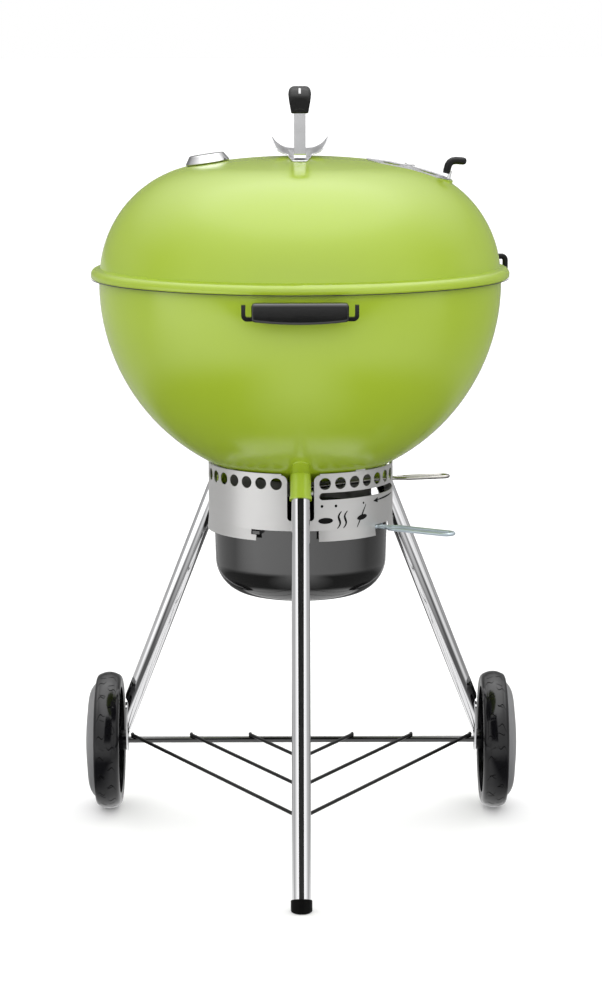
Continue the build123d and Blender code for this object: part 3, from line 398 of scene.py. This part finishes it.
def lid_grip():
    """The black grip: a rounded bar that runs away from the eye, narrower below, with a foot at each end."""
    ends = [0.0, 0.5, 1.3, 2.5, 4.0, 6.0, 8.0, 10.0, 13.0, 16.0, 18.0, 20.0, 22.0, 24.0, 40.0, 60.0, GRIP_HALF]
    inset = {0.0: 2.2, 0.5: 1.0, 1.3: 0.3}
    rows = []
    for side in (-1, 1):
        for end in ends if side < 0 else ends[-2::-1]:
            low = 1035.0 + 8.0 * eased(end, 16.0, 24.0) + inset.get(end, 0)
            top = grip_top(end) - inset.get(end, 0)
            half_low, half_top = (15.8 - 3.8 * (1070.2 - z) / 35.2 - inset.get(end, 0) for z in (low, top))
            round_top = min(8.0, (top - low) / 2)
            outline = bar_outline(half_low, half_top, low, top, 2.0, round_top)
            rows.append([(x, AXIS_MM + side * (GRIP_HALF - end), z) for x, z in outline])
    grip = skin("lid_grip", rows, NYLON, "lid", closed=True, caps=True)
    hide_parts("lid_handle_grip")
    for name, side in (("front", -1), ("rear", 1)):
        ridge = [(8.6 * math.cos(math.pi * k / 14), 1036.2 + 4.6 * math.sin(math.pi * k / 14)) for k in range(15)]
        arch = tube(ridge, [0.7] * 15, AXIS_MM + side * (GRIP_HALF - 0.1))
        skin("grip_arch_" + name, arch, NYLON, "lid", closed=True, caps=True)
        # A pale grey strip laid along the top of the grip near each end
        pale_strip = []
        for k in range(9):
            end = 3.2 + 1.15 * k
            pale_strip.append([(x, AXIS_MM + side * (GRIP_HALF - end + 0.1), grip_top(end) + 0.18) for x in (-1.5, 1.5)])
        skin("grip_pale_strip_" + name, pale_strip, PALE, "lid")


def wing_depth(x):
    """Half depth of the heat shield: tongues under the posts in its middle, pointed wings at its sides."""
    across = abs(x)
    if across < 17:
        return 36 + 50 * (1 - eased(across, 9.5, 17.0))
    if across < 29:
        return 36
    return 36 * math.sqrt(max(1 - ((across - 29) / 9.6) ** 2, 0.0004))


def heat_shield():
    """Polished saddle: two wings curling up to points, and a tongue to the foot of each post."""
    rows = []
    for i in range(65):
        x = 38.6 * math.sin(math.pi * (i - 32) / 64)
        deep = wing_depth(x)
        row = []
        for j in range(41):
            y = deep * (j - 20) / 20
            wing = 985.4 + 16.2 * (abs(x) / 38.6) ** 3.6 - y * y / 165
            foot = 976.6 - y * y / 1400
            row.append((x, AXIS_MM + y, wing + (foot - wing) * eased(abs(y), 30.0, 60.0)))
        rows.append(row)
    shield = skin("heat_shield", rows, SHIELD, "lid")
    plate = shield.modifiers.new("sheet", "SOLIDIFY")
    plate.thickness = 0.001
    plate.offset = -1.0
    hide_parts("lid_heat_shield")


def damper_knob():
    """Black sleeve on the damper's edge rod: it rises, bends and runs outward to a round end."""
    bend = [(203.4, 949.6), (203.5, 950.1), (204.1, 952.6), (205.2, 957.5), (206.3, 961.2), (208.6, 964.6),
            (212.0, 966.7), (216.5, 967.3), (222.0, 967.0), (226.4, 966.6), (229.0, 966.3), (230.6, 966.1),
            (231.5, 966.0)]
    radii = [4.4, 5.0, 5.3, 5.3, 5.3, 5.3, 5.3, 5.3, 5.3, 5.3, 4.7, 3.4, 1.2]
    knob = skin("damper_knob", tube(bend, radii, AXIS_MM), NYLON, "damper", closed=True, caps=True)
    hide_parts("damper_sleeve")


def rim_lip_and_gap_shadow():
    """Dark band along the raw lower edge of the lid: its dark ground coat, and painted shadow of the gap where the lid
    sits over the bowl's rim.
    """
    rows = []
    for k in range(241):
        a = math.tau * k / 240
        reach = LID_RIM_R + LIP_RISE
        rows.append([(reach * math.cos(a), AXIS_MM + reach * math.sin(a), z) for z in LIP_EDGE])
    # painted shadow of the gap under the lid, in the dark tone of its raw edge
    skin("lid_lip_gap_shadow", rows, LIP_COAT_AND_SHADOW, "lid")


def dial_marks():
    """Scale strokes on the thermometer's dial, over the sweep of its pointer."""
    tilt = math.radians(GAUGE_TILT)
    right = Vector((math.cos(tilt), 0, math.sin(tilt)))
    up = Vector((-math.sin(tilt), 0, math.cos(tilt)))
    middle = Vector((-128.0, AXIS_MM, 964.847)) + up * 6.1
    far = max((v.co * 1000 - middle for v in nodes["gauge_pointer"].data.vertices), key=lambda d: d.length)
    start = math.atan2(far.y, far.dot(right))
    points, faces = [], []
    for k in range(DIAL_STROKES):
        a = start - math.radians(GAUGE_SWEEP * k / (DIAL_STROKES - 1))
        out = right * math.cos(a) + Vector((0, 1, 0)) * math.sin(a)
        along = up.cross(out)
        inner, half = (14.5, 0.55) if k % 5 == 0 else (17.0, 0.3)
        for reach, side in ((inner, -half), (inner, half), (20.6, half), (20.6, -half)):
            points.append((middle + out * reach + along * side) / 1000)
        faces.append(tuple(range(4 * k, 4 * k + 4)))
    mesh_piece("dial_scale", points, faces, PRINT, "lid")


def tread_wave(first, phase):
    """One wavy line over half a tread: (distance from the middle, turn, reach from the axle, half width)."""
    wave = []
    for n in range(13):
        share = n / 12
        across = 1.0 + 13.2 * share
        turn = math.radians(first + 5.0 * share + 2.2 * math.sin(math.tau * (share + phase)))
        drop = max(across - 12, 0.0)
        reach = TREAD_R + 0.16 - 2.9 * min(across / 12, 1.0) ** 2 - 0.2 * drop - 0.09 * drop * drop
        wave.append((across, turn, reach, 0.2 + 0.75 * math.sin(math.pi * share)))
    return wave


def tread(name, side):
    """Wavy lines across the tread of one wheel, from near its middle to both shoulders."""
    low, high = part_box(name)
    axle_y, axle_z = (low.y + high.y) * 500, (low.z + high.z) * 500
    points, faces = [], []
    for edge in (-1, 1):
        for k in range(TREAD_LINES):
            start = len(points)
            wave = tread_wave(18.0 * k + (9.0 if edge > 0 else 0.0), 0.1 * (k % 3))
            for across, turn, reach, half in wave:
                for off in (-half, half):
                    a = turn + off / TREAD_R
                    place = (side * TREAD_X + edge * across, axle_y + reach * math.cos(a), axle_z + reach * math.sin(a))
                    points.append(tuple(c / 1000 for c in place))
            for n in range(len(wave) - 1):
                at = start + 2 * n
                faces.append((at, at + 1, at + 3, at + 2))
    mesh_piece("tread_" + name, points, faces, GROOVE, name)


lid_grip()
heat_shield()
damper_knob()
rim_lip_and_gap_shadow()
dial_marks()
tread("wheel_left", -1)
tread("wheel_right", 1)


# Studio: a pale floor and soft light from all round. Mirrors see their own levels of floor, walls and ceiling,
# listed as (place, level), and a dark board in front of the front leg.

FLOOR_LIFT = 0.08
FLOOR_BOUNCE = 0.50
FLOOR_SPAN = (2.0, -6.0)
FLOOR_MIRROR = [(0.0, 0.45), (1.0, 0.50), (0.22, 0.50), (0.30, 1.1), (0.36, 1.4), (0.58, 1.5), (0.75, 0.6)]
UNDER_Y = AXIS_Y + 0.15
UNDER = (0.95, 1.40)
UNDER_MIRROR = [(0.0, 1.1), (1.0, 0.12), (0.20, 1.1), (0.26, 0.12)]
LIT_PATCH = ((0.0, -0.85), (0.55, 0.75))
LIT_LEVEL = 1.2
GLOSS = (0.60, 0.76)
SIDES_AT = 2.5
SIDES = (1.35, 0.70)
LEG_BOARD = ((0.30, -0.36, 0.784), (0.55, -1.25, 0.35))
FRONT = [(0.0, 2.0), (1.0, 2.2), (0.20, 2.6), (0.35, 1.7), (0.50, 0.70), (0.70, 0.85), (0.85, 1.5)]
SKY = [(0.0, 0.25), (1.0, 0.80), (0.50, 1.25), (0.60, 1.20), (0.75, 1.05), (0.88, 0.90)]
WALLS = [(0.0, 0.25), (1.0, 1.3), (0.15, 0.35), (0.30, 0.55), (0.5, 0.50), (0.70, 1.1)]
CEILING = [(0.0, 0.4), (1.0, 3.9), (0.75, 1.7), (0.86, 2.2), (0.93, 3.3)]

def seen_directly(tree):
    """1 for rays that show the studio itself: to the eye and through glass."""
    path = tree.nodes.new("ShaderNodeLightPath")
    total = add(tree, "ShaderNodeMath", operation="ADD", use_clamp=True)
    tree.links.new(path.outputs["Is Camera Ray"], total.inputs[0])
    tree.links.new(path.outputs["Is Transmission Ray"], total.inputs[1])
    return path, total.outputs[0]


def ramp(tree, value, stops):
    """A grey level that follows a value through the given stops."""
    node = add(tree, "ShaderNodeValToRGB", Fac=value)
    steps = node.color_ramp.elements
    for n, (at, level) in enumerate(stops):
        step = steps[n] if n < 2 else steps.new(at)
        step.position = at
        step.color = (level, level, level, 1)
    return node.outputs["Color"]


def blend(tree, amount, first, second):
    """Between two colours by an amount from 0 to 1; each is a colour or another node's output."""
    node = add(tree, "ShaderNodeMix", data_type="RGBA")
    tree.links.new(amount, node.inputs["Factor"])
    for socket, value in zip([i for i in node.inputs if i.type == "RGBA"], (first, second)):
        if isinstance(value, bpy.types.NodeSocket):
            tree.links.new(value, socket)
        else:
            socket.default_value = value
    return [o for o in node.outputs if o.type == "RGBA"][0]


def patch(tree, spot, middle, reach):
    """1 in the middle of an oval on the floor, falling to 0 at its edge."""
    scaled = add(tree, "ShaderNodeVectorMath", operation="MULTIPLY_ADD")
    tree.links.new(spot, scaled.inputs[0])
    scaled.inputs[1].default_value = (1 / reach[0], 1 / reach[1], 0)
    scaled.inputs[2].default_value = (-middle[0] / reach[0], -middle[1] / reach[1], 0)
    length = add(tree, "ShaderNodeVectorMath", operation="LENGTH")
    tree.links.new(scaled.outputs[0], length.inputs[0])
    edge = add(tree, "ShaderNodeMapRange", Value=length.outputs["Value"], From_Min=1.0, From_Max=0.25)
    return edge.outputs["Result"]


def plain_floor():
    """A pale floor. Mirrors see it lit in front and right below the ash pot, and dark around that."""
    mesh = bpy.data.meshes.new("floor")
    mesh.from_pydata([(-90, -90, 0), (90, -90, 0), (90, 90, 0), (-90, 90, 0)], [], [(0, 1, 2, 3)])
    floor = bpy.data.objects.new("floor", mesh)
    floor.location.z = -0.0005
    scene.collection.objects.link(floor)
    m = bpy.data.materials.new("floor_pale")
    m.use_nodes = True
    tree = m.node_tree
    tree.nodes.clear()
    out = tree.nodes.new("ShaderNodeOutputMaterial")
    path, seen = seen_directly(tree)
    tone = use(tree, MOTTLE, Colour_A=(0.86, 0.86, 0.86, 1), Colour_B=(0.90, 0.90, 0.90, 1), Scale=0.8)
    bounce = (FLOOR_BOUNCE, FLOOR_BOUNCE, FLOOR_BOUNCE, 1)
    pale = add(tree, "ShaderNodeBsdfDiffuse", Color=blend(tree, seen, bounce, tone.outputs["Colour"]))
    lift = add(tree, "ShaderNodeEmission", Color=blend(tree, seen, (0, 0, 0, 1), (1, 1, 1, 1)), Strength=FLOOR_LIFT)
    both = tree.nodes.new("ShaderNodeAddShader")
    tree.links.new(pale.outputs[0], both.inputs[0])
    tree.links.new(lift.outputs[0], both.inputs[1])
    spot = add(tree, "ShaderNodeSeparateXYZ", Vector=add(tree, "ShaderNodeTexCoord").outputs["Object"])
    flat = add(tree, "ShaderNodeCombineXYZ", X=spot.outputs["X"], Y=spot.outputs["Y"])
    ahead = add(tree, "ShaderNodeMapRange", Value=spot.outputs["Y"], From_Min=FLOOR_SPAN[0], From_Max=FLOOR_SPAN[1])
    out_from = add(tree, "ShaderNodeVectorMath", operation="DISTANCE")
    tree.links.new(flat.outputs[0], out_from.inputs[0])
    out_from.inputs[1].default_value = (0, UNDER_Y, 0)
    under = add(tree, "ShaderNodeMapRange", Value=out_from.outputs["Value"], From_Min=UNDER[0], From_Max=UNDER[1])
    slant = add(tree, "ShaderNodeLayerWeight", Blend=0.5)
    gloss = add(tree, "ShaderNodeMapRange", Value=slant.outputs["Facing"], From_Min=GLOSS[0], From_Max=GLOSS[1])
    clear = add(tree, "ShaderNodeMath", operation="MAXIMUM")
    tree.links.new(under.outputs["Result"], clear.inputs[0])
    tree.links.new(gloss.outputs["Result"], clear.inputs[1])
    across = add(tree, "ShaderNodeMapRange", Value=spot.outputs["X"], From_Min=-SIDES_AT, From_Max=SIDES_AT,
                 To_Min=SIDES[0], To_Max=SIDES[1])
    sheen = add(tree, "ShaderNodeVectorMath", operation="SCALE", Scale=across.outputs["Result"])
    tree.links.new(ramp(tree, ahead.outputs["Result"], FLOOR_MIRROR), sheen.inputs[0])
    near = add(tree, "ShaderNodeMapRange", Value=out_from.outputs["Value"], From_Max=UNDER[1])
    below = blend(tree, patch(tree, flat.outputs[0], *LIT_PATCH), ramp(tree, near.outputs["Result"], UNDER_MIRROR),
                  (LIT_LEVEL, LIT_LEVEL, LIT_LEVEL, 1))
    glimpse = blend(tree, clear.outputs[0], below, sheen.outputs[0])
    mirror = add(tree, "ShaderNodeEmission", Color=glimpse, Strength=1.0)
    mix = tree.nodes.new("ShaderNodeMixShader")
    tree.links.new(path.outputs["Is Glossy Ray"], mix.inputs["Fac"])
    tree.links.new(both.outputs[0], mix.inputs[1])
    tree.links.new(mirror.outputs[0], mix.inputs[2])
    tree.links.new(mix.outputs[0], out.inputs["Surface"])
    mesh.materials.append(m)


def one_sided(finish):
    """The finish shows on the front of a sheet only; from behind, the sheet is clear."""
    tree = finish.node_tree
    out = next(n for n in tree.nodes if n.type == "OUTPUT_MATERIAL")
    painted = out.inputs["Surface"].links[0].from_socket
    mix = tree.nodes.new("ShaderNodeMixShader")
    tree.links.new(tree.nodes.new("ShaderNodeNewGeometry").outputs["Backfacing"], mix.inputs["Fac"])
    tree.links.new(painted, mix.inputs[1])
    tree.links.new(tree.nodes.new("ShaderNodeBsdfTransparent").outputs[0], mix.inputs[2])
    tree.links.new(mix.outputs[0], out.inputs["Surface"])
    return finish


def dark_board(name, corners):
    """A dark board that only mirrors see, as photographers use to draw dark lines in bright metal."""
    mesh = bpy.data.meshes.new(name)
    mesh.from_pydata(corners, [], [(0, 1, 2, 3)])
    mesh.materials.append(BOARD)
    board = bpy.data.objects.new(name, mesh)
    scene.collection.objects.link(board)
    board.visible_camera = False
    board.visible_diffuse = False
    board.visible_transmission = False
    board.visible_shadow = False


def leg_board():
    """The board leans in front of the front leg."""
    near, far = LEG_BOARD
    dark_board("leg_board", [(-near[0], near[1], near[2]), (near[0], near[1], near[2]),
                             (far[0], far[1], far[2]), (-far[0], far[1], far[2])])


def surroundings():
    """Soft light from above and from the camera's side; mirrors see a bright ceiling and a bright front."""
    world = bpy.data.worlds.new("studio")
    scene.world = world
    world.use_nodes = True
    tree = world.node_tree
    tree.nodes.clear()
    out = tree.nodes.new("ShaderNodeOutputWorld")
    way = add(tree, "ShaderNodeTexCoord").outputs["Generated"]
    part = add(tree, "ShaderNodeSeparateXYZ", Vector=way)
    rise = add(tree, "ShaderNodeMapRange", Value=part.outputs["Z"], From_Min=-1.0, From_Max=1.0)
    walls = add(tree, "ShaderNodeMapRange", Value=part.outputs["Y"], From_Min=1.0, From_Max=-1.0)
    light = add(tree, "ShaderNodeVectorMath", operation="MULTIPLY")
    tree.links.new(ramp(tree, rise.outputs["Result"], SKY), light.inputs[0])
    tree.links.new(ramp(tree, walls.outputs["Result"], FRONT), light.inputs[1])
    mirrored = blend(tree, add(tree, "ShaderNodeMapRange", Value=part.outputs["Z"], From_Min=0.30, From_Max=0.80)
                     .outputs["Result"], ramp(tree, walls.outputs["Result"], WALLS),
                     ramp(tree, rise.outputs["Result"], CEILING))
    path, seen = seen_directly(tree)
    lit = blend(tree, path.outputs["Is Glossy Ray"], light.outputs[0], mirrored)
    shown = blend(tree, seen, lit, (1, 1, 1, 1))
    glow = add(tree, "ShaderNodeBackground", Color=shown, Strength=1.0)
    tree.links.new(glow.outputs["Background"], out.inputs["Surface"])


BOARD = one_sided(material("board_black", (0.010, 0.010, 0.010), (0.016, 0.016, 0.016), 4.0, (0.8, 0.9)))

plain_floor()
leg_board()
surroundings()

# The camera stands where the photographer stood

camera_data = bpy.data.cameras.new("camera")
camera_data.lens = 102.98
camera_data.sensor_width = 36.0
camera_data.shift_x = 0.00035
camera = bpy.data.objects.new("camera", camera_data)
camera.matrix_world = (Matrix.Translation((0.0, AXIS_Y - 3.9953, 1.15607))
                       @ Matrix.Rotation(math.radians(90 - 9.466), 4, "X")
                       @ Matrix.Rotation(math.radians(-0.136), 4, "Z"))
scene.collection.objects.link(camera)
scene.camera = camera
scene.view_settings.view_transform = "Standard"
